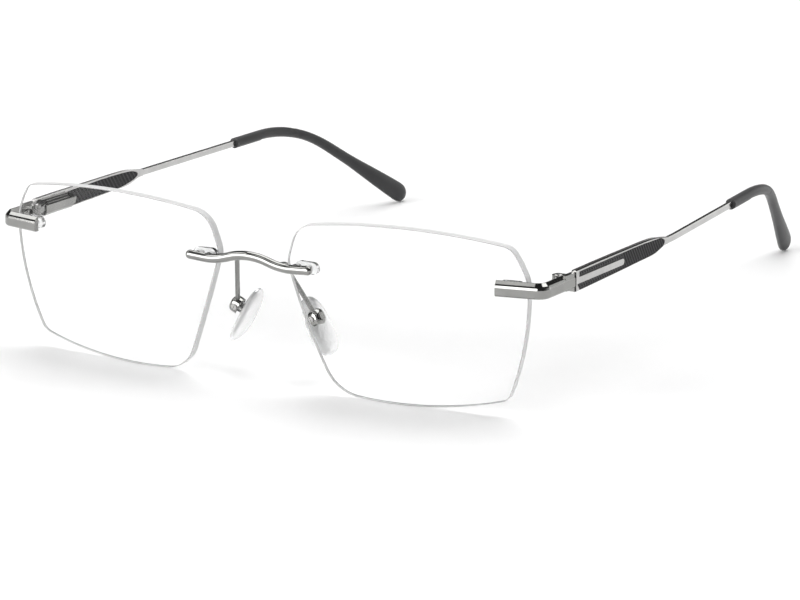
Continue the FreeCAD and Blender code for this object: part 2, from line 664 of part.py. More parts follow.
def spring_box():
    """The housing on the temple's inner side, bored for the spring and closed at the rear."""
    side = [
        (BOX_FRONT_Y, BOX_LOW_Z),
        (BOX_END_Y - 1.5, BOX_LOW_Z),
        (BOX_END_Y - 0.3, BOX_LOW_Z + 0.7),
        (BOX_END_Y, BOX_LOW_Z + 1.7),
        (BOX_END_Y - 1.7, BOX_HIGH_Z),
        (BOX_FRONT_Y, BOX_HIGH_Z),
    ]
    depth = PLATE_INNER_X - SNUG - BOX_INNER_X
    block = polygon_prism([VEC(BOX_INNER_X, y, z) for y, z in side], VEC(depth, 0, 0))
    inner = [edge for edge in block.Edges if edge.BoundBox.XMax < BOX_INNER_X + SNUG]
    low_edges = [edge for edge in inner if edge.BoundBox.ZMax < BAR_MID_Z and edge.BoundBox.YLength > SNUG]
    block = block.makeChamfer(BOX_CHAMFER, low_edges)
    bevel = [(-1, -BOX_TOP_BEVEL - 1), (-1, 1), (BOX_TOP_BEVEL + 1, 1)]
    wedge = polygon_prism([VEC(BOX_INNER_X + x, BOX_FRONT_Y, BOX_HIGH_Z + z) for x, z in bevel],
                          VEC(0, BOX_END_Y - BOX_FRONT_Y, 0))
    front_wall_end = BOX_FRONT_Y + BOX_FRONT_WALL
    bore = rod(VEC(STEM_X, front_wall_end, BAR_MID_Z), VEC(STEM_X, BOX_BORE_END_Y, BAR_MID_Z), BOX_BORE_RADIUS)
    mouth = rod(VEC(STEM_X, BOX_FRONT_Y - 1, BAR_MID_Z), VEC(STEM_X, BOX_BORE_END_Y, BAR_MID_Z),
                STEM_RADIUS + RUNNING)
    grooves = []
    for share in (0.3, 0.7):
        start = VEC(BOX_INNER_X + share * BOX_TOP_BEVEL, BOX_FRONT_Y, BOX_HIGH_Z - (1 - share) * BOX_TOP_BEVEL)
        grooves.append(rod(start + Y_AXIS * BOX_GROOVE_START, start + Y_AXIS * BOX_GROOVE_END, BOX_GROOVE))
    return block.cut([wedge, bore, mouth] + grooves)


# ---------------------------------------------------------------- temples

def grown(points, amount):
    """The points of a curve that runs rearwards on top and back below, moved outwards."""
    moved = []
    for before, (y, z), after in zip(points[:1] + points, points, points[1:] + points[-1:]):
        run_y = after[0] - before[0]
        run_z = after[1] - before[1]
        length = math.hypot(run_y, run_z)
        moved.append((y - run_z / length * amount, z + run_y / length * amount))
    (first_y, first_z), (last_y, last_z) = moved[0], moved[-1]
    return [(first_y - amount, first_z)] + moved[1:-1] + [(last_y - amount, last_z)]


def outline(x, curves, front, grow=0.0):
    """A face in the plane X = x within curves drawn rearwards on top and back below."""
    edges = []
    ends = []
    for curve in curves:
        points = [VEC(x, y, z) for y, z in grown(curve, grow)]
        if ends:
            edges.append(line(ends[-1], points[0]))
        edges.append(spline(points))
        ends += [points[0], points[-1]]
    corners = [ends[-1]] + [VEC(x, y - grow, z) for y, z in front] + [ends[0]]
    edges += [line(start, end) for start, end in zip(corners, corners[1:])]
    return Part.Face(Part.Wire(edges))


def stripe(grow, x, depth):
    """The bright bar along the front half of the temple, with a round rear end."""
    start_y, start_z = STRIPE_START
    end_y, end_z = STRIPE_END
    half = STRIPE_HALF + grow
    edges = [
        line(VEC(x, start_y, start_z - half), VEC(x, end_y, end_z - half)),
        arc(VEC(x, end_y, end_z - half), VEC(x, end_y + half, end_z), VEC(x, end_y, end_z + half)),
        line(VEC(x, end_y, end_z + half), VEC(x, start_y, start_z + half)),
        line(VEC(x, start_y, start_z + half), VEC(x, start_y, start_z - half)),
    ]
    return Part.Face(Part.Wire(edges)).extrude(VEC(depth, 0, 0))


def outer_pocket():
    """The recess in the temple's outer side, with the stripe left standing in it."""
    floor_x = PLATE_INNER_X + PLATE_THICK - OUTER_DEPTH
    recess = outline(floor_x, [OUTER_CURVE], OUTER_FRONT, SNUG).extrude(VEC(OUTER_DEPTH, 0, 0))
    return recess.cut(stripe(0, floor_x, OUTER_DEPTH))


def outer_inlay():
    floor_x = PLATE_INNER_X + PLATE_THICK - OUTER_DEPTH + SNUG
    depth = OUTER_DEPTH - SNUG
    inlay = outline(floor_x, [OUTER_CURVE], OUTER_FRONT).extrude(VEC(depth, 0, 0))
    return inlay.cut(stripe(SNUG, floor_x, depth))


def inner_pocket():
    return outline(PLATE_INNER_X, [INNER_CURVE], [], SNUG).extrude(VEC(INNER_DEPTH, 0, 0))


def inner_inlay():
    return outline(PLATE_INNER_X, [INNER_CURVE], []).extrude(VEC(INNER_DEPTH - SNUG, 0, 0))


def arm_path():
    return rounded_path(ARM_LINE, ARM_BENDS)


def arm_station(distance):
    """The point and the direction of the arm's centre line at a distance along it."""
    for edge in arm_path().Edges:
        if distance <= edge.Length:
            break
        distance -= edge.Length
    parameter = edge.getParameterByLength(min(distance, edge.Length))
    return edge.valueAt(parameter), edge.tangentAt(parameter)


def arm_wire(grow, short):
    """The flat wire along the arm, ending a little short of the arm's end."""
    profile = rounded_rectangle(ARM_LINE[0], WIRE_HALF_THICK + grow, WIRE_HALF_HEIGHT + grow,
                                WIRE_ROUND + grow)
    wire = sweep(arm_path(), profile, X_AXIS)
    point, direction = arm_station(arm_path().Length - short)
    return wire.cut(Part.makeCylinder(10, 2 * short, point, direction))


def temple():
    plate = outline(PLATE_INNER_X, [PLATE_CURVE, PLATE_LOW_CURVE], []).extrude(VEC(PLATE_THICK, 0, 0))
    for curve, height in ((PLATE_CURVE, PLATE_TOP_BEVEL_HEIGHT), (PLATE_LOW_CURVE, PLATE_LOW_BEVEL_HEIGHT)):
        corner = Part.Vertex(VEC(PLATE_INNER_X + PLATE_THICK, *curve[len(curve) // 2]))
        rim = min(plate.Edges, key=lambda edge: edge.distToShape(corner)[0])
        plate = plate.makeChamfer(height, PLATE_BEVEL, [rim])
    solid = plate.fuse(arm_wire(0, CORE_SHORT))
    return solid.cut(outer_pocket()).cut(inner_pocket()).removeSplitter()


def oval_section(distance, half_width, half_thick):
    """A closed oval across the arm, its width in the plane in which the arm drops."""
    point, direction = arm_station(distance)
    thin = (X_AXIS - direction * X_AXIS.dot(direction)).normalize()
    wide = direction.cross(thin)
    count = 12
    ring = []
    for step in range(count):
        angle = 2 * math.pi * step / count
        ring.append(point + wide * (half_width * math.cos(angle)) + thin * (half_thick * math.sin(angle)))
    curve = Part.BSplineCurve()
    curve.interpolate(Points=ring, PeriodicFlag=True)
    return Part.Wire(curve.toShape())


def sleeve_start():
    """How far along the arm the tip sleeve starts: it starts on the straight part of the wire."""
    straight = 2 * (ARM_LINE[1].y - ARM_LINE[0].y)
    point, direction = arm_station(straight)
    return straight + (SLEEVE_START_Y - point.y) / direction.y


def temple_tip():
    """The dark sleeve: a round shank, then a bend that widens into a rounded paddle."""
    start = sleeve_start()
    shank_end = start + SLEEVE_ROUND_LENGTH
    total = arm_path().Length
    shank = rod(arm_station(start)[0], arm_station(shank_end)[0], SLEEVE_RADIUS)
    sections = [oval_section(shank_end + behind, width, thick) for behind, width, thick in SLEEVE_SECTIONS]
    last_width, last_thick = SLEEVE_SECTIONS[-1][1:]
    for share in (0.0, 0.4, 0.7, 0.88, 0.97, 0.995):
        shrink = math.sqrt(1 - share ** 2)
        distance = total - SLEEVE_END_ROUND * (1 - share)
        sections.append(oval_section(distance, last_width * shrink, last_thick * shrink))
    paddle = Part.makeLoft(sections, True)
    bore = arm_wire(SNUG, CORE_SHORT - SNUG)
    return shank.fuse(paddle).cut(bore)


# ---------------------------------------------------------------- assembly

SINGLE_PIECES = {"bridge": bridge}

PAIRED_PIECES = {
    "lens": lens,
    "bridge_bushing": bridge_bushing,
    "endpiece_bushing": endpiece_bushing,
    "pad_arm": pad_arm,
    "pad_box": pad_box,
    "pad_screw": pad_screw,
    "nose_pad": nose_pad,
    "endpiece": endpiece,
    "hinge_screw": hinge_screw,
    "hinge_carriage": hinge_carriage,
    "flex_spring": flex_spring,
    "spring_stop": spring_stop,
    "spring_box": spring_box,
    "temple": temple,
    "outer_inlay": outer_inlay,
    "inner_inlay": inner_inlay,
    "temple_tip": temple_tip,
}


def all_pieces():
    """Every piece by name, in the fitting frame."""
    pieces = {name: one_solid(build()) for name, build in SINGLE_PIECES.items()}
    for name, build in PAIRED_PIECES.items():
        left = one_solid(build())
        pieces["left_" + name] = left
        pieces["right_" + name] = left.mirror(ORIGIN, X_AXIS)
    return pieces


def main():
    os.makedirs("parts", exist_ok=True)
    settled = {name: settle(piece) for name, piece in all_pieces().items()}
    box = Part.makeCompound(list(settled.values())).optimalBoundingBox(False, False)
    to_origin = VEC(0, -(box.YMin + box.YMax) / 2, -box.ZMin)
    for name, piece in settled.items():
        piece.translated(to_origin).exportStep("parts/" + name + ".step")
    print("moved by", to_origin, "box", box)


main()
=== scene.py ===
import bpy
import json
import math
from mathutils import Matrix, Quaternion, Vector
from mathutils.bvhtree import BVHTree


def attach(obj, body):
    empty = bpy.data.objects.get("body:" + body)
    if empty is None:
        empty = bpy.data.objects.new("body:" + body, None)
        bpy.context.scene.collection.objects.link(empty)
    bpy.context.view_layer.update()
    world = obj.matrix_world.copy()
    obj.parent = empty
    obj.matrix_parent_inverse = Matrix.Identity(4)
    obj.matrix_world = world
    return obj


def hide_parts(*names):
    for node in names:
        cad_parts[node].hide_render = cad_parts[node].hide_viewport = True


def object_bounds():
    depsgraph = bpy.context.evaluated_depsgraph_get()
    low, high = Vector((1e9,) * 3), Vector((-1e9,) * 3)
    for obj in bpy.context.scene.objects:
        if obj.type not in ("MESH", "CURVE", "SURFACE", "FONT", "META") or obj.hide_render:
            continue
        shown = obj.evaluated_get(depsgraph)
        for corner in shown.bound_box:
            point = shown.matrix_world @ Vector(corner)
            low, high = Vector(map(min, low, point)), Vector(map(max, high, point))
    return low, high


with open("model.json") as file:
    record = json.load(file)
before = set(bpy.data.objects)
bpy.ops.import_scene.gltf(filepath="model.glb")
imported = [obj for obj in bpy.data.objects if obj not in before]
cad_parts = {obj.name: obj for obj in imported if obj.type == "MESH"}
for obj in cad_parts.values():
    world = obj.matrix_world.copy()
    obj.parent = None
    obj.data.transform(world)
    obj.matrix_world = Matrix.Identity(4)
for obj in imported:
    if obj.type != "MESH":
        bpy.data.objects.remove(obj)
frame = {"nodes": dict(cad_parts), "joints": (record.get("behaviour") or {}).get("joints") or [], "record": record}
CAD_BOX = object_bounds()

# Rimless eyeglasses: materials for every piece, ribbed inlays, silicone nose pads with their
# inserts, a pale floor and soft studio light. Lengths are in metres unless a name says _MM.

MM = 0.001
PER_MM = (1000, 1000, 1000)             # turns metres into millimetres for a texture
SIDES = ("left", "right")

# Camera, seen from the front and the wearer's left
CAMERA_AZIMUTH = 32.555
CAMERA_ELEVATION = 16.293
CAMERA_ROLL = -2.021
CAMERA_DISTANCE = 0.8973
CAMERA_LENS = 186.9
CAMERA_AIM = Vector((0.0026, -0.01707, -0.01386))     # from the middle of the object's box

# Soft light panels: name, azimuth and elevation from the object, distance, width, height, watts
PANELS = [
    ("front_panel", -20, 19, 1.6, 2.5, 1.1, 42),
    ("rear_panel", 150, 12, 1.6, 1.3, 0.8, 3.4),
    ("top_panel", 172, 64, 1.7, 2.5, 1.2, 30),
    ("right_panel", -74, 46, 1.6, 0.6, 0.5, 2.4),
    ("high_panel", -42, 62, 1.6, 0.5, 0.4, 0.9),
]
ROOM_TONES = [(0.0, 0.85), (0.1, 0.6), (0.2, 0.05), (1.0, 0.04)]    # from the horizon upwards

FLOOR_HALF = 6.0
FLOOR_GAP = 0.0002

# Inlays: outer ribs, the knurl beside the stripe, the inner hatch, and the grid that carries them
RIB_PITCH_MM = 0.95
RIB_DEPTH_MM = 0.17
RIB_SLANT = 0.62
RIB_SHARPNESS = 1.3
KNURL_PITCH_MM = 0.66
HATCH_PITCH_MM = 1.2
HATCH_DEPTH_MM = 0.15
HATCH_SLANT = 0.7
INLAY_STEP_MM = 0.085
INLAY_ROWS = 26
INLAY_BORDER_MM = 0.09                  # a plain rim round the relief
INLAY_FRONT_INSET_MM = 0.01
INLAY_REAR_INSET_MM = 0.03
RAY_STEP_MM = 0.002

# Lenses: greys of the ground edge and its bevels, told apart by how squarely they face the front
LENS_EDGE_GREY = 0.86
LENS_BEVEL_GREY = 0.46
LENS_EDGE_ENDS = (0.3, 0.35)
LENS_FACE_STARTS = (0.86, 0.9)
LENS_COATING_SHINE = 0.06

# Nose pads: down the pad in the fitting frame; levels are towards the nose from the pad screw
PAD_DOWN = Vector((0.480, -0.020, -0.877)).normalized()
PAD_BACK_MM = 1.2
PAD_CROWN_MM = 0.5
PAD_TOP_SHARE = 0.78                    # how wide the pad is above, against below
PAD_END_FULLNESS = 3
PAD_SIDE_FULLNESS = 5
PAD_SECTION_POWER = 2.5
PAD_END_SHARE = 0.0015                  # the end rings close just inside the tips
PAD_STATIONS = 40
PAD_RING = 48

# The insert in the pad, as shares of the pad above and below the screw and of its half width
INSERT_LEVELS_MM = (1.65, 2.35)
INSERT_TOP_SHARE = 0.4
INSERT_LOW_SHARE = 0.7
INSERT_LOW_WIDTH = 0.4
INSERT_TOP_WIDTH = 0.33
INSERT_SECTION_POWER = 3.2

# The tab behind the pad
TAB_ROUND_MM = 0.8
TAB_HALF_MM = 0.95
TAB_TOP_MM = 1.3
TAB_ARC_STEPS = 16


# ---------------------------------------------------------------- places taken from the frame

def joint(name):
    return next(entry for entry in frame["joints"] if entry["name"] == name)


def fitting_frame():
    """From millimetres about the middle of the two hinges, with Y along the temples, to the row."""
    hinge = joint("left_temple_fold")["pos_m"]
    along = joint("left_flex_slide")["axis"]
    tilt = math.atan2(along[2], along[1])
    middle = Vector((0, hinge[1], hinge[2]))
    return Matrix.Translation(middle) @ Matrix.Rotation(tilt, 4, "X") @ Matrix.Scale(MM, 4)


FITTING = fitting_frame()


def side_sign(side):
    return 1 if side == "left" else -1


def towards(azimuth, elevation):
    """A unit vector from the object; azimuth 0 is the front and 90 the wearer's left."""
    turn = math.radians(azimuth)
    rise = math.radians(elevation)
    return Vector((math.sin(turn) * math.cos(rise), -math.cos(turn) * math.cos(rise), math.sin(rise)))


# ---------------------------------------------------------------- node helpers

def new_material(name):
    """A new material with its nodes, its links and its shader."""
    material = bpy.data.materials.new(name)
    material.use_nodes = True
    nodes = material.node_tree.nodes
    shader = nodes["Principled BSDF"]
    return material, nodes, material.node_tree.links, shader


def object_coordinates(nodes, links, scale):
    """The place on the piece, times a scale along each axis."""
    coordinates = nodes.new("ShaderNodeTexCoord")
    mapping = nodes.new("ShaderNodeMapping")
    mapping.inputs["Scale"].default_value = scale
    links.new(coordinates.outputs["Object"], mapping.inputs["Vector"])
    return mapping.outputs["Vector"]


def noise(nodes, links, vector, scale, detail=3.0, roughness=0.5):
    """A noise value from 0 to 1."""
    texture = nodes.new("ShaderNodeTexNoise")
    texture.inputs["Scale"].default_value = scale
    texture.inputs["Detail"].default_value = detail
    texture.inputs["Roughness"].default_value = roughness
    links.new(vector, texture.inputs["Vector"])
    return texture.outputs["Fac"]


def ramp(nodes, links, factor, stops):
    """A colour ramp; stops are (place, grey or colour)."""
    node = nodes.new("ShaderNodeValToRGB")
    elements = node.color_ramp.elements
    while len(elements) < len(stops):
        elements.new(0.5)
    for element, (place, value) in zip(elements, stops):
        colour = (value,) * 3 if isinstance(value, float) else value
        element.position = place
        element.color = (*colour, 1.0)
    links.new(factor, node.inputs["Fac"])
    return node.outputs["Color"]


def remap(nodes, links, factor, low, high):
    """A factor of 0 to 1 spread over low to high."""
    node = nodes.new("ShaderNodeMapRange")
    node.inputs["To Min"].default_value = low
    node.inputs["To Max"].default_value = high
    links.new(factor, node.inputs["Value"])
    return node.outputs["Result"]


def bump(nodes, links, height, distance, strength, under=None):
    """A bumped normal, on top of the normal under it when one is given."""
    node = nodes.new("ShaderNodeBump")
    node.inputs["Distance"].default_value = distance
    node.inputs["Strength"].default_value = strength
    links.new(height, node.inputs["Height"])
    if under is not None:
        links.new(under, node.inputs["Normal"])
    return node.outputs["Normal"]


def squareness(nodes, links, axis):
    """How squarely a surface faces along an axis of the room, from 0 to 1."""
    geometry = nodes.new("ShaderNodeNewGeometry")
    split = nodes.new("ShaderNodeSeparateXYZ")
    links.new(geometry.outputs["True Normal"], split.inputs["Vector"])
    facing = nodes.new("ShaderNodeMath")
    facing.operation = "ABSOLUTE"
    links.new(split.outputs[axis], facing.inputs[0])
    return facing.outputs["Value"]


def rounded_edges(nodes, radius):
    """A normal that softens sharp edges by a radius."""
    node = nodes.new("ShaderNodeBevel")
    node.samples = 4
    node.inputs["Radius"].default_value = radius
    return node.outputs["Normal"]


# ---------------------------------------------------------------- materials

def metal(name, dark, light, rough_low, rough_high, grain, edge):
    """Plated metal: cloudy tint, uneven gloss, fine lengthwise grain and softened edges."""
    material, nodes, links, shader = new_material(name)
    place = object_coordinates(nodes, links, PER_MM)
    clouds = noise(nodes, links, place, 0.35, 4.0)
    links.new(ramp(nodes, links, clouds, [(0.3, dark), (0.7, light)]), shader.inputs["Base Color"])
    wear = noise(nodes, links, place, 2.6, 5.0, 0.6)
    links.new(remap(nodes, links, wear, rough_low, rough_high), shader.inputs["Roughness"])
    shader.inputs["Metallic"].default_value = 1.0
    streaks = object_coordinates(nodes, links, (2600, 260, 2600))
    lines = noise(nodes, links, streaks, 3.0, 2.0, 0.4)
    normal = bump(nodes, links, lines, 0.00001, grain, rounded_edges(nodes, edge))
    links.new(normal, shader.inputs["Normal"])
    return material


def lens_glass():
    """Clear lens: polished faces with a few fine marks, a frosted edge and duller bevels."""
    material, nodes, links, shader = new_material("lens_glass")
    frontal = squareness(nodes, links, "Y")
    edge_end, bevel_start = LENS_EDGE_ENDS
    bevel_end, face_start = LENS_FACE_STARTS

    def by_face(on_edge, on_bevel, on_face):
        stops = [(edge_end, on_edge), (bevel_start, on_bevel),
                 (bevel_end, on_bevel), (face_start, on_face)]
        return ramp(nodes, links, frontal, stops)

    links.new(by_face(LENS_EDGE_GREY, LENS_BEVEL_GREY, 0.99), shader.inputs["Base Color"])
    links.new(by_face(0.3, 0.6, 1.0), shader.inputs["Transmission Weight"])
    place = object_coordinates(nodes, links, PER_MM)
    marks = noise(nodes, links, place, 0.8, 5.0)
    gloss = nodes.new("ShaderNodeMath")
    gloss.operation = "MULTIPLY_ADD"
    links.new(marks, gloss.inputs[0])
    gloss.inputs[1].default_value = 0.02
    links.new(by_face(0.45, 0.25, 0.0), gloss.inputs[2])
    links.new(gloss.outputs["Value"], shader.inputs["Roughness"])
    shader.inputs["IOR"].default_value = 1.5
    shader.inputs["Specular Tint"].default_value = (*[LENS_COATING_SHINE] * 3, 1.0)
    return material


def clear_plastic(name, colour, rough_low, rough_high, ior, ripple, rim=1.0, clear=1.0, shine=1.0):
    """Clear moulded plastic or silicone with soft ripples, slightly cloudy.

    rim paints shade into the colour of the surfaces that don't face sideways, a painted edge
    shade; clear is how much light goes through, and shine scales the reflection.
    """
    material, nodes, links, shader = new_material(name)
    place = object_coordinates(nodes, links, PER_MM)
    cloud = noise(nodes, links, place, 0.9, 4.0)
    light = tuple(min(1.0, channel * 1.03) for channel in colour)
    tones = ramp(nodes, links, cloud, [(0.3, colour), (0.7, light)])
    # Painted shade: the colour is darkened by rim where a surface turns away from the room's X axis, shading the
    # edges
    shade = nodes.new("ShaderNodeMix")
    shade.data_type = "RGBA"
    shade.blend_type = "MULTIPLY"
    shade.inputs["Factor"].default_value = 1.0
    links.new(tones, shade.inputs["A"])
    sideways = squareness(nodes, links, "X")
    links.new(ramp(nodes, links, sideways, [(0.5, rim), (0.8, 1.0)]), shade.inputs["B"])
    links.new(shade.outputs["Result"], shader.inputs["Base Color"])
    links.new(remap(nodes, links, cloud, rough_low, rough_high), shader.inputs["Roughness"])
    shader.inputs["Transmission Weight"].default_value = clear
    shader.inputs["Specular Tint"].default_value = (shine, shine, shine, 1.0)
    shader.inputs["IOR"].default_value = ior
    waves = noise(nodes, links, place, 1.6, 2.0)
    links.new(bump(nodes, links, waves, 0.0001, ripple), shader.inputs["Normal"])
    return material


def black_inlay():
    """Black moulded inlay: satin, slightly patchy, with a fine orange-peel grain."""
    material, nodes, links, shader = new_material("black_inlay")
    place = object_coordinates(nodes, links, PER_MM)
    patches = noise(nodes, links, place, 0.8, 4.0)
    tones = ramp(nodes, links, patches, [(0.3, (0.012, 0.012, 0.013)), (0.7, (0.02, 0.02, 0.022))])
    links.new(tones, shader.inputs["Base Color"])
    grain = noise(nodes, links, place, 9.0, 3.0)
    links.new(remap(nodes, links, grain, 0.3, 0.5), shader.inputs["Roughness"])
    shader.inputs["Specular IOR Level"].default_value = 0.3
    normal = bump(nodes, links, grain, 0.00004, 0.35, rounded_edges(nodes, 0.03 * MM))
    links.new(normal, shader.inputs["Normal"])
    return material


def tip_rubber():
    """Dark matt sleeve: soft sheen, fine grain, slightly greyer in patches."""
    material, nodes, links, shader = new_material("tip_rubber")
    place = object_coordinates(nodes, links, PER_MM)
    patches = noise(nodes, links, place, 0.12, 5.0)
    tones = ramp(nodes, links, patches, [(0.3, (0.017, 0.017, 0.018)), (0.7, (0.027, 0.027, 0.028))])
    links.new(tones, shader.inputs["Base Color"])
    grain = noise(nodes, links, place, 7.0, 4.0, 0.65)
    links.new(remap(nodes, links, grain, 0.36, 0.52), shader.inputs["Roughness"])
    shader.inputs["Specular IOR Level"].default_value = 0.4
    shader.inputs["Sheen Weight"].default_value = 0.1
    shader.inputs["Sheen Roughness"].default_value = 0.4
    links.new(bump(nodes, links, grain, 0.00005, 0.25), shader.inputs["Normal"])
    return material


# Metals: name, dark and light tint, roughness range, grain strength, edge radius
CHROME = metal("gunmetal_chrome", (0.27, 0.27, 0.262), (0.31, 0.31, 0.3), 0.04, 0.11, 0.25, 0.07 * MM)
TEMPLE_STEEL = metal("temple_steel", (0.46, 0.455, 0.45), (0.53, 0.525, 0.52), 0.1, 0.2, 0.5, 0.06 * MM)
WIRE_STEEL = metal("satin_wire", (0.23, 0.23, 0.225), (0.28, 0.28, 0.272), 0.2, 0.32, 0.6, 0.05 * MM)
SCREW_STEEL = metal("turned_screw", (0.42, 0.42, 0.41), (0.52, 0.51, 0.5), 0.14, 0.26, 0.9, 0.04 * MM)
SPRING_STEEL = metal("drawn_spring", (0.3, 0.3, 0.31), (0.4, 0.4, 0.41), 0.2, 0.34, 0.8, 0.02 * MM)
LENS_GLASS = lens_glass()

# Clear pieces: name, colour, roughness range, IOR, ripple, then rim (painted edge shade), clear and shine
BUSHING = clear_plastic("clear_bushing", (0.86, 0.865, 0.865), 0.02, 0.12, 1.49, 0.3)
# The silicone pads and their inserts carry painted shade on their edges, through rim 0.8 and 0.95
SILICONE = clear_plastic("clear_silicone", (0.68, 0.685, 0.685), 0.06, 0.18, 1.41, 1.0, 0.8, 0.6, 0.4)
PAD_INSERT = clear_plastic("pad_insert", (0.9, 0.905, 0.905), 0.04, 0.14, 1.12, 0.6, 0.95, 0.9)
INLAY = black_inlay()
RUBBER = tip_rubber()

SLOT_MATERIALS = {
    "chrome": CHROME,
    "wire_steel": WIRE_STEEL,
    "screw_steel": SCREW_STEEL,
    "spring_steel": SPRING_STEEL,
    "lens_clear": LENS_GLASS,
    "bushing_clear": BUSHING,
    "pad_silicone": SILICONE,
    "inlay_black": INLAY,
    "tip_black": RUBBER,
}


def dress_cad_nodes():
    """Every CAD node gets its slot's material; the temples are a lighter steel than the rest."""
    for part in frame["record"]["subparts"]:
        material = SLOT_MATERIALS[part["material_slot"]]
        if part["node"].endswith("temple"):
            material = TEMPLE_STEEL
        for material_slot in frame["nodes"][part["node"]].material_slots:
            material_slot.material = material


# ---------------------------------------------------------------- mesh helpers

def mesh_piece(name, points, faces, material, side, body):
    """A smooth piece from fitting-frame points on the wearer's left, mirrored for the right."""
    mirror = side_sign(side)
    mesh = bpy.data.meshes.new(name)
    placed = [FITTING @ Vector((mirror * p.x, p.y, p.z)) for p in points]
    rings = faces if mirror > 0 else [tuple(reversed(face)) for face in faces]
    mesh.from_pydata(placed, [], rings)
    mesh.polygons.foreach_set("use_smooth", [True] * len(mesh.polygons))
    mesh.materials.append(material)
    mesh.update()
    piece = bpy.data.objects.new(name, mesh)
    bpy.context.scene.collection.objects.link(piece)
    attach(piece, body)
    return piece


def grid_faces(rows, columns, first):
    """Quads over a grid whose points are numbered row by row from first."""
    faces = []
    for row in range(rows - 1):
        for column in range(columns - 1):
            corner = first + row * columns + column
            faces.append((corner, corner + 1, corner + columns + 1, corner + columns))
    return faces


def slab_faces(rows, columns, first):
    """A closed slab: a front grid, a back grid numbered after it, and the rim between them."""
    back = first + rows * columns
    faces = grid_faces(rows, columns, first)
    faces += [tuple(reversed(face)) for face in grid_faces(rows, columns, back)]
    rim = list(range(columns))
    rim += [row * columns + columns - 1 for row in range(1, rows)]
    rim += [(rows - 1) * columns + column for column in range(columns - 2, -1, -1)]
    rim += [row * columns for row in range(rows - 2, 0, -1)]
    for here, there in zip(rim, rim[1:] + rim[:1]):
        faces.append((first + here, back + here, back + there, first + there))
    return faces


# ---------------------------------------------------------------- inlays

def node_tree_in_fitting(node):
    """The CAD node as a search tree, in fitting-frame millimetres."""
    back = FITTING.inverted()
    mesh = frame["nodes"][node].data
    points = [back @ vertex.co for vertex in mesh.vertices]
    return BVHTree.FromPolygons(points, [polygon.vertices[:] for polygon in mesh.polygons]), points


def crossings(tree, x, y, top):
    """Heights at which a line straight down at (x, y) meets the node, from the top."""
    heights = []
    start = Vector((x, y, top))
    while True:
        hit = tree.ray_cast(start, Vector((0, 0, -1)))[0]
        if hit is None:
            return heights
        heights.append(hit.z)
        start = hit - Vector((0, 0, RAY_STEP_MM))


def legs_at(tree, x, y, top):
    """The stretches of inlay at y, each as (low, high)."""
    heights = crossings(tree, x, y, top)
    return [(low, high) for high, low in zip(heights[0::2], heights[1::2])]


def ridge(phase):
    """A rounded rib between narrow grooves, from 0 in the groove to 1 on the rib."""
    return (0.5 - 0.5 * math.cos(2 * math.pi * phase)) ** RIB_SHARPNESS


def outer_relief(y, z, rear_start):
    """How far the outer inlay's surface lies below the rib tops; beside the stripe it is knurled."""
    height = ridge((y + RIB_SLANT * z) / RIB_PITCH_MM)
    if y <= rear_start:
        height *= ridge(z / KNURL_PITCH_MM)
    return RIB_DEPTH_MM * (1 - height)


def inner_relief(y, z, rear_start):
    """How far the inner inlay's hatched surface lies below its rib tops."""
    return HATCH_DEPTH_MM * (1 - ridge((y + HATCH_SLANT * z) / HATCH_PITCH_MM))


def field(tree, x_face, x_back, columns, pick, relief, rear_start, top):
    """Points of one stretch of inlay: a ribbed face, then a plain back, column by column."""
    points = []
    middle_x = (x_face + x_back) / 2
    outward = math.copysign(1, x_face - x_back)
    for surface in (x_face, x_back):
        for y in columns:
            low, high = pick(legs_at(tree, middle_x, y, top))
            for row in range(INLAY_ROWS):
                share = row / (INLAY_ROWS - 1)
                z = low + (high - low) * share
                edge = min(1.0, min(share, 1 - share) * (high - low) / INLAY_BORDER_MM)
                x = surface
                if surface == x_face:
                    ribs = relief(y, z, rear_start)
                    x = surface - outward * (ribs * edge + RIB_DEPTH_MM * (1 - edge))
                points.append(Vector((x, y, z)))
    return points


def evenly(start, end, step):
    """Even places from start to end, about a step apart."""
    count = max(2, round((end - start) / step))
    return [start + (end - start) * index / count for index in range(count + 1)]


def build_inlay(side, name, relief, outward):
    """An inlay in the outline of its CAD node, with its ribs as real relief.

    Behind the stripe it is one field; beside the stripe it has an upper and a lower leg.
    """
    node = side + "_" + name
    tree, points = node_tree_in_fitting("left_" + name)
    low_x = min(point.x for point in points)
    high_x = max(point.x for point in points)
    x_face, x_back = (high_x, low_x) if outward > 0 else (low_x, high_x)
    start = min(point.y for point in points) + INLAY_FRONT_INSET_MM
    end = max(point.y for point in points) - INLAY_REAR_INSET_MM
    top = max(point.z for point in points) + 1
    middle_x = (low_x + high_x) / 2
    columns = evenly(start, end, INLAY_STEP_MM)
    split = [y for y in columns if len(legs_at(tree, middle_x, y, top)) > 1]
    rear_start = split[-1] if split else start
    rear = [y for y in columns if y >= rear_start]
    fields = [(rear, lambda legs: (legs[-1][0], legs[0][1]))]
    if split:
        lower = [y for y in columns if y <= rear_start]
        fields += [(split, lambda legs: legs[0]), (lower, lambda legs: legs[-1])]
    all_points = []
    faces = []
    for ys, pick in fields:
        faces += slab_faces(len(ys), INLAY_ROWS, len(all_points))
        all_points += field(tree, x_face, x_back, ys, pick, relief, rear_start, top)
    if outward < 0:
        faces = [tuple(reversed(face)) for face in faces]
    piece = mesh_piece(node + "_ribbed", all_points, faces, INLAY, side, side + "_arm")
    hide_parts(node)


# ---------------------------------------------------------------- nose pads

def pad_axes():
    """Down the pad, across it along its screw, and towards the nose, in the fitting frame."""
    across = FITTING.inverted().to_3x3() @ Vector(joint("left_pad_rock")["axis"])
    across.normalize()
    down = (PAD_DOWN - across * across.dot(PAD_DOWN)).normalized()
    return down, across, across.cross(down)


def pad_centre():
    """The middle of the left nose pad's screw, in fitting-frame millimetres."""
    return FITTING.inverted() @ Vector(joint("left_pad_rock")["pos_m"])


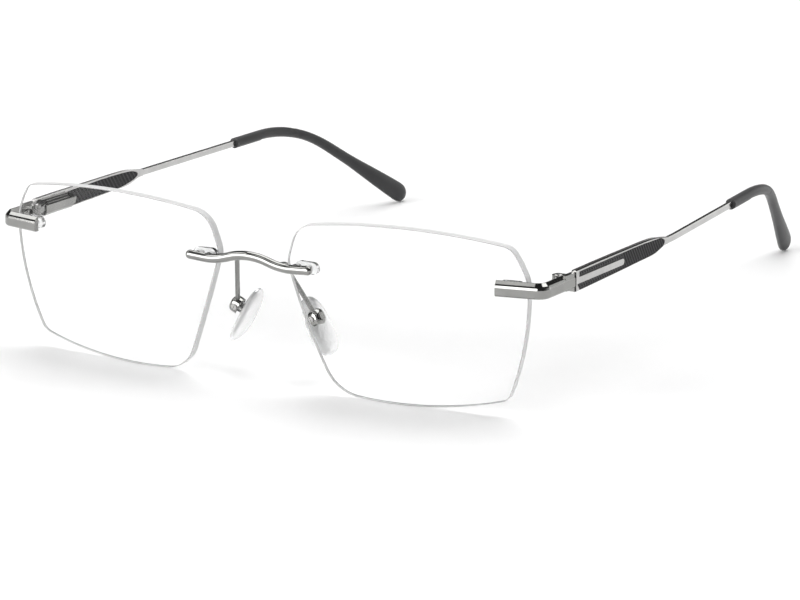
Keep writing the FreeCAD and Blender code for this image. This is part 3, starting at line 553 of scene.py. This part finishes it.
def pad_extent(direction):
    """How far the CAD pad reaches from its screw, backwards and forwards along a direction."""
    centre = pad_centre()
    reaches = [(point - centre).dot(direction) for point in node_tree_in_fitting("left_nose_pad")[1]]
    return min(reaches), max(reaches)


def pad_points(stations, section, aside):
    """Rings of points: each station is (down, half width, back, front), set aside from the screw."""
    down, across, nose = pad_axes()
    centre = pad_centre() + across * aside
    points = []
    for run, half_width, back, front in stations:
        for step in range(PAD_RING):
            angle = 2 * math.pi * step / PAD_RING
            side, depth = section(angle)
            level = (back + front) / 2 + (front - back) / 2 * depth
            points.append(centre + down * run + across * (half_width * side) + nose * level)
    return points


def ring_faces(rings):
    """Quads between rings of points, with the first and last ring closed."""
    faces = []
    for low in range(0, (rings - 1) * PAD_RING, PAD_RING):
        high = low + PAD_RING
        for step in range(PAD_RING):
            following = (step + 1) % PAD_RING
            faces.append((low + step, low + following, high + following, high + step))
    last = (rings - 1) * PAD_RING
    faces.append(tuple(reversed(range(PAD_RING))))
    faces.append(tuple(range(last, last + PAD_RING)))
    return faces


def soft_section(power):
    """A squarish oval, from the superellipse of a given power."""
    def section(angle):
        across = math.cos(angle)
        depth = math.sin(angle)
        return (math.copysign(abs(across) ** (2 / power), across),
                math.copysign(abs(depth) ** (2 / power), depth))
    return section


def pad_stations(start, end, half_low, half_high, back, front, crown):
    """An egg-shaped body: widest below, rounded at both ends and crowned towards the nose."""
    stations = []
    middle = (back + front) / 2
    for step in range(PAD_STATIONS + 1):
        share = 0.5 - 0.5 * math.cos(math.pi * (step / PAD_STATIONS))
        share = min(max(share, PAD_END_SHARE), 1 - PAD_END_SHARE)
        reach = abs(2 * share - 1)
        half = (half_high + (half_low - half_high) * share) * (1 - reach ** PAD_END_FULLNESS) ** 0.5
        thick = (front - back) / 2 * (1 - reach ** PAD_SIDE_FULLNESS) ** 0.5
        crowned = middle + thick + crown * (1 - reach ** 2)
        stations.append((start + (end - start) * share, half, middle - thick, crowned))
    return stations


def build_pad_body(side, name, stations, power, aside, material):
    """A closed body from stations down the pad, with a squarish oval section."""
    points = pad_points(stations, soft_section(power), aside)
    faces = ring_faces(len(stations))
    return mesh_piece(name, points, faces, material, side, side + "_pad")


def build_nose_pad(side):
    """A clear silicone pad on a harder clear insert that turns on the pad screw."""
    down, across, nose = pad_axes()
    start, end = pad_extent(down)
    near, far = pad_extent(across)
    front = pad_extent(nose)[1] - PAD_CROWN_MM
    half = (far - near) / 2
    aside = (far + near) / 2
    body = pad_stations(start, end, half, half * PAD_TOP_SHARE, PAD_BACK_MM, front, PAD_CROWN_MM)
    name = side + "_nose_pad"
    piece = build_pad_body(side, name + "_silicone", body, PAD_SECTION_POWER, aside, SILICONE)
    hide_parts(name)
    low, high = INSERT_LEVELS_MM
    plate = pad_stations(start * INSERT_TOP_SHARE, end * INSERT_LOW_SHARE,
                         half * INSERT_LOW_WIDTH, half * INSERT_TOP_WIDTH, low, high, 0.0)
    build_pad_body(side, name + "_insert", plate, INSERT_SECTION_POWER, aside, PAD_INSERT)
    build_pad_tab(side)


def build_pad_tab(side):
    """The tab behind the pad that sits in the pad box round the screw."""
    down, across, nose = pad_axes()
    centre = pad_centre()
    outline = []
    for step in range(TAB_ARC_STEPS + 1):
        turn = math.pi * (step / TAB_ARC_STEPS - 0.5)
        outline.append((TAB_ROUND_MM * math.sin(turn), -TAB_ROUND_MM * math.cos(turn)))
    outline += [(TAB_ROUND_MM, TAB_TOP_MM), (-TAB_ROUND_MM, TAB_TOP_MM)]
    points = []
    for edge in (-TAB_HALF_MM, TAB_HALF_MM):
        points += [centre + down * x + nose * z + across * edge for x, z in outline]
    count = len(outline)
    faces = [tuple(reversed(range(count))), tuple(range(count, 2 * count))]
    for here in range(count):
        there = (here + 1) % count
        faces.append((here, there, count + there, count + here))
    mesh_piece(side + "_nose_pad_tab", points, faces, PAD_INSERT, side, side + "_pad")


# ---------------------------------------------------------------- camera, floor and light

def make_camera():
    """The photograph's view, found from the two lenses and temples."""
    low, high = CAD_BOX
    data = bpy.data.cameras.new("camera")
    data.lens = CAMERA_LENS
    data.clip_start = 0.01
    data.clip_end = 50
    camera = bpy.data.objects.new("camera", data)
    back = towards(CAMERA_AZIMUTH, CAMERA_ELEVATION)
    camera.location = (low + high) / 2 + CAMERA_AIM + back * CAMERA_DISTANCE
    camera.rotation_mode = "QUATERNION"
    roll = Quaternion((0, 0, 1), math.radians(CAMERA_ROLL))
    camera.rotation_quaternion = (-back).to_track_quat("-Z", "Y") @ roll
    bpy.context.scene.collection.objects.link(camera)
    bpy.context.scene.camera = camera


def floor_material():
    """Pale paper that is faintly uneven."""
    material, nodes, links, shader = new_material("pale_floor")
    place = object_coordinates(nodes, links, (1, 1, 1))
    paper = noise(nodes, links, place, 40.0, 3.0)
    links.new(ramp(nodes, links, paper, [(0.3, 0.92), (0.7, 0.94)]), shader.inputs["Base Color"])
    shader.inputs["Roughness"].default_value = 0.9
    shader.inputs["Specular IOR Level"].default_value = 0.1
    return material


def make_floor():
    """A wide floor just below the object, for looks only."""
    mesh = bpy.data.meshes.new("floor")
    turns = ((-1, -1), (1, -1), (1, 1), (-1, 1))
    corners = [(x * FLOOR_HALF, y * FLOOR_HALF, -FLOOR_GAP) for x, y in turns]
    mesh.from_pydata(corners, [], [(0, 1, 2, 3)])
    mesh.materials.append(floor_material())
    floor = bpy.data.objects.new("floor", mesh)
    bpy.context.scene.collection.objects.link(floor)


def area_light(name, azimuth, elevation, distance, width, height, power):
    """A soft panel that looks at the object from a direction round it."""
    data = bpy.data.lights.new(name, "AREA")
    data.shape = "RECTANGLE"
    data.size = width
    data.size_y = height
    data.energy = power
    light = bpy.data.objects.new(name, data)
    back = towards(azimuth, elevation)
    light.location = back * distance
    light.rotation_mode = "QUATERNION"
    light.rotation_quaternion = (-back).to_track_quat("-Z", "Y")
    bpy.context.scene.collection.objects.link(light)


def make_world():
    """A dim room above a pale horizon; the panels give most of the light."""
    world = bpy.data.worlds.new("studio")
    world.use_nodes = True
    nodes = world.node_tree.nodes
    links = world.node_tree.links
    coordinates = nodes.new("ShaderNodeTexCoord")
    split = nodes.new("ShaderNodeSeparateXYZ")
    links.new(coordinates.outputs["Generated"], split.inputs["Vector"])
    background = nodes["Background"]
    links.new(ramp(nodes, links, split.outputs["Z"], ROOM_TONES), background.inputs["Color"])
    background.inputs["Strength"].default_value = 1.0
    bpy.context.scene.world = world


def make_light():
    """Wide panels in front and overhead behind, with three smaller ones for the metal's shine."""
    make_world()
    for panel in PANELS:
        area_light(*panel)
    bpy.context.scene.view_settings.view_transform = "Standard"


# ---------------------------------------------------------------- assembly

make_camera()
dress_cad_nodes()
for side in SIDES:
    build_inlay(side, "outer_inlay", outer_relief, 1)
    build_inlay(side, "inner_inlay", inner_relief, -1)
    build_nose_pad(side)
make_floor()
make_light()
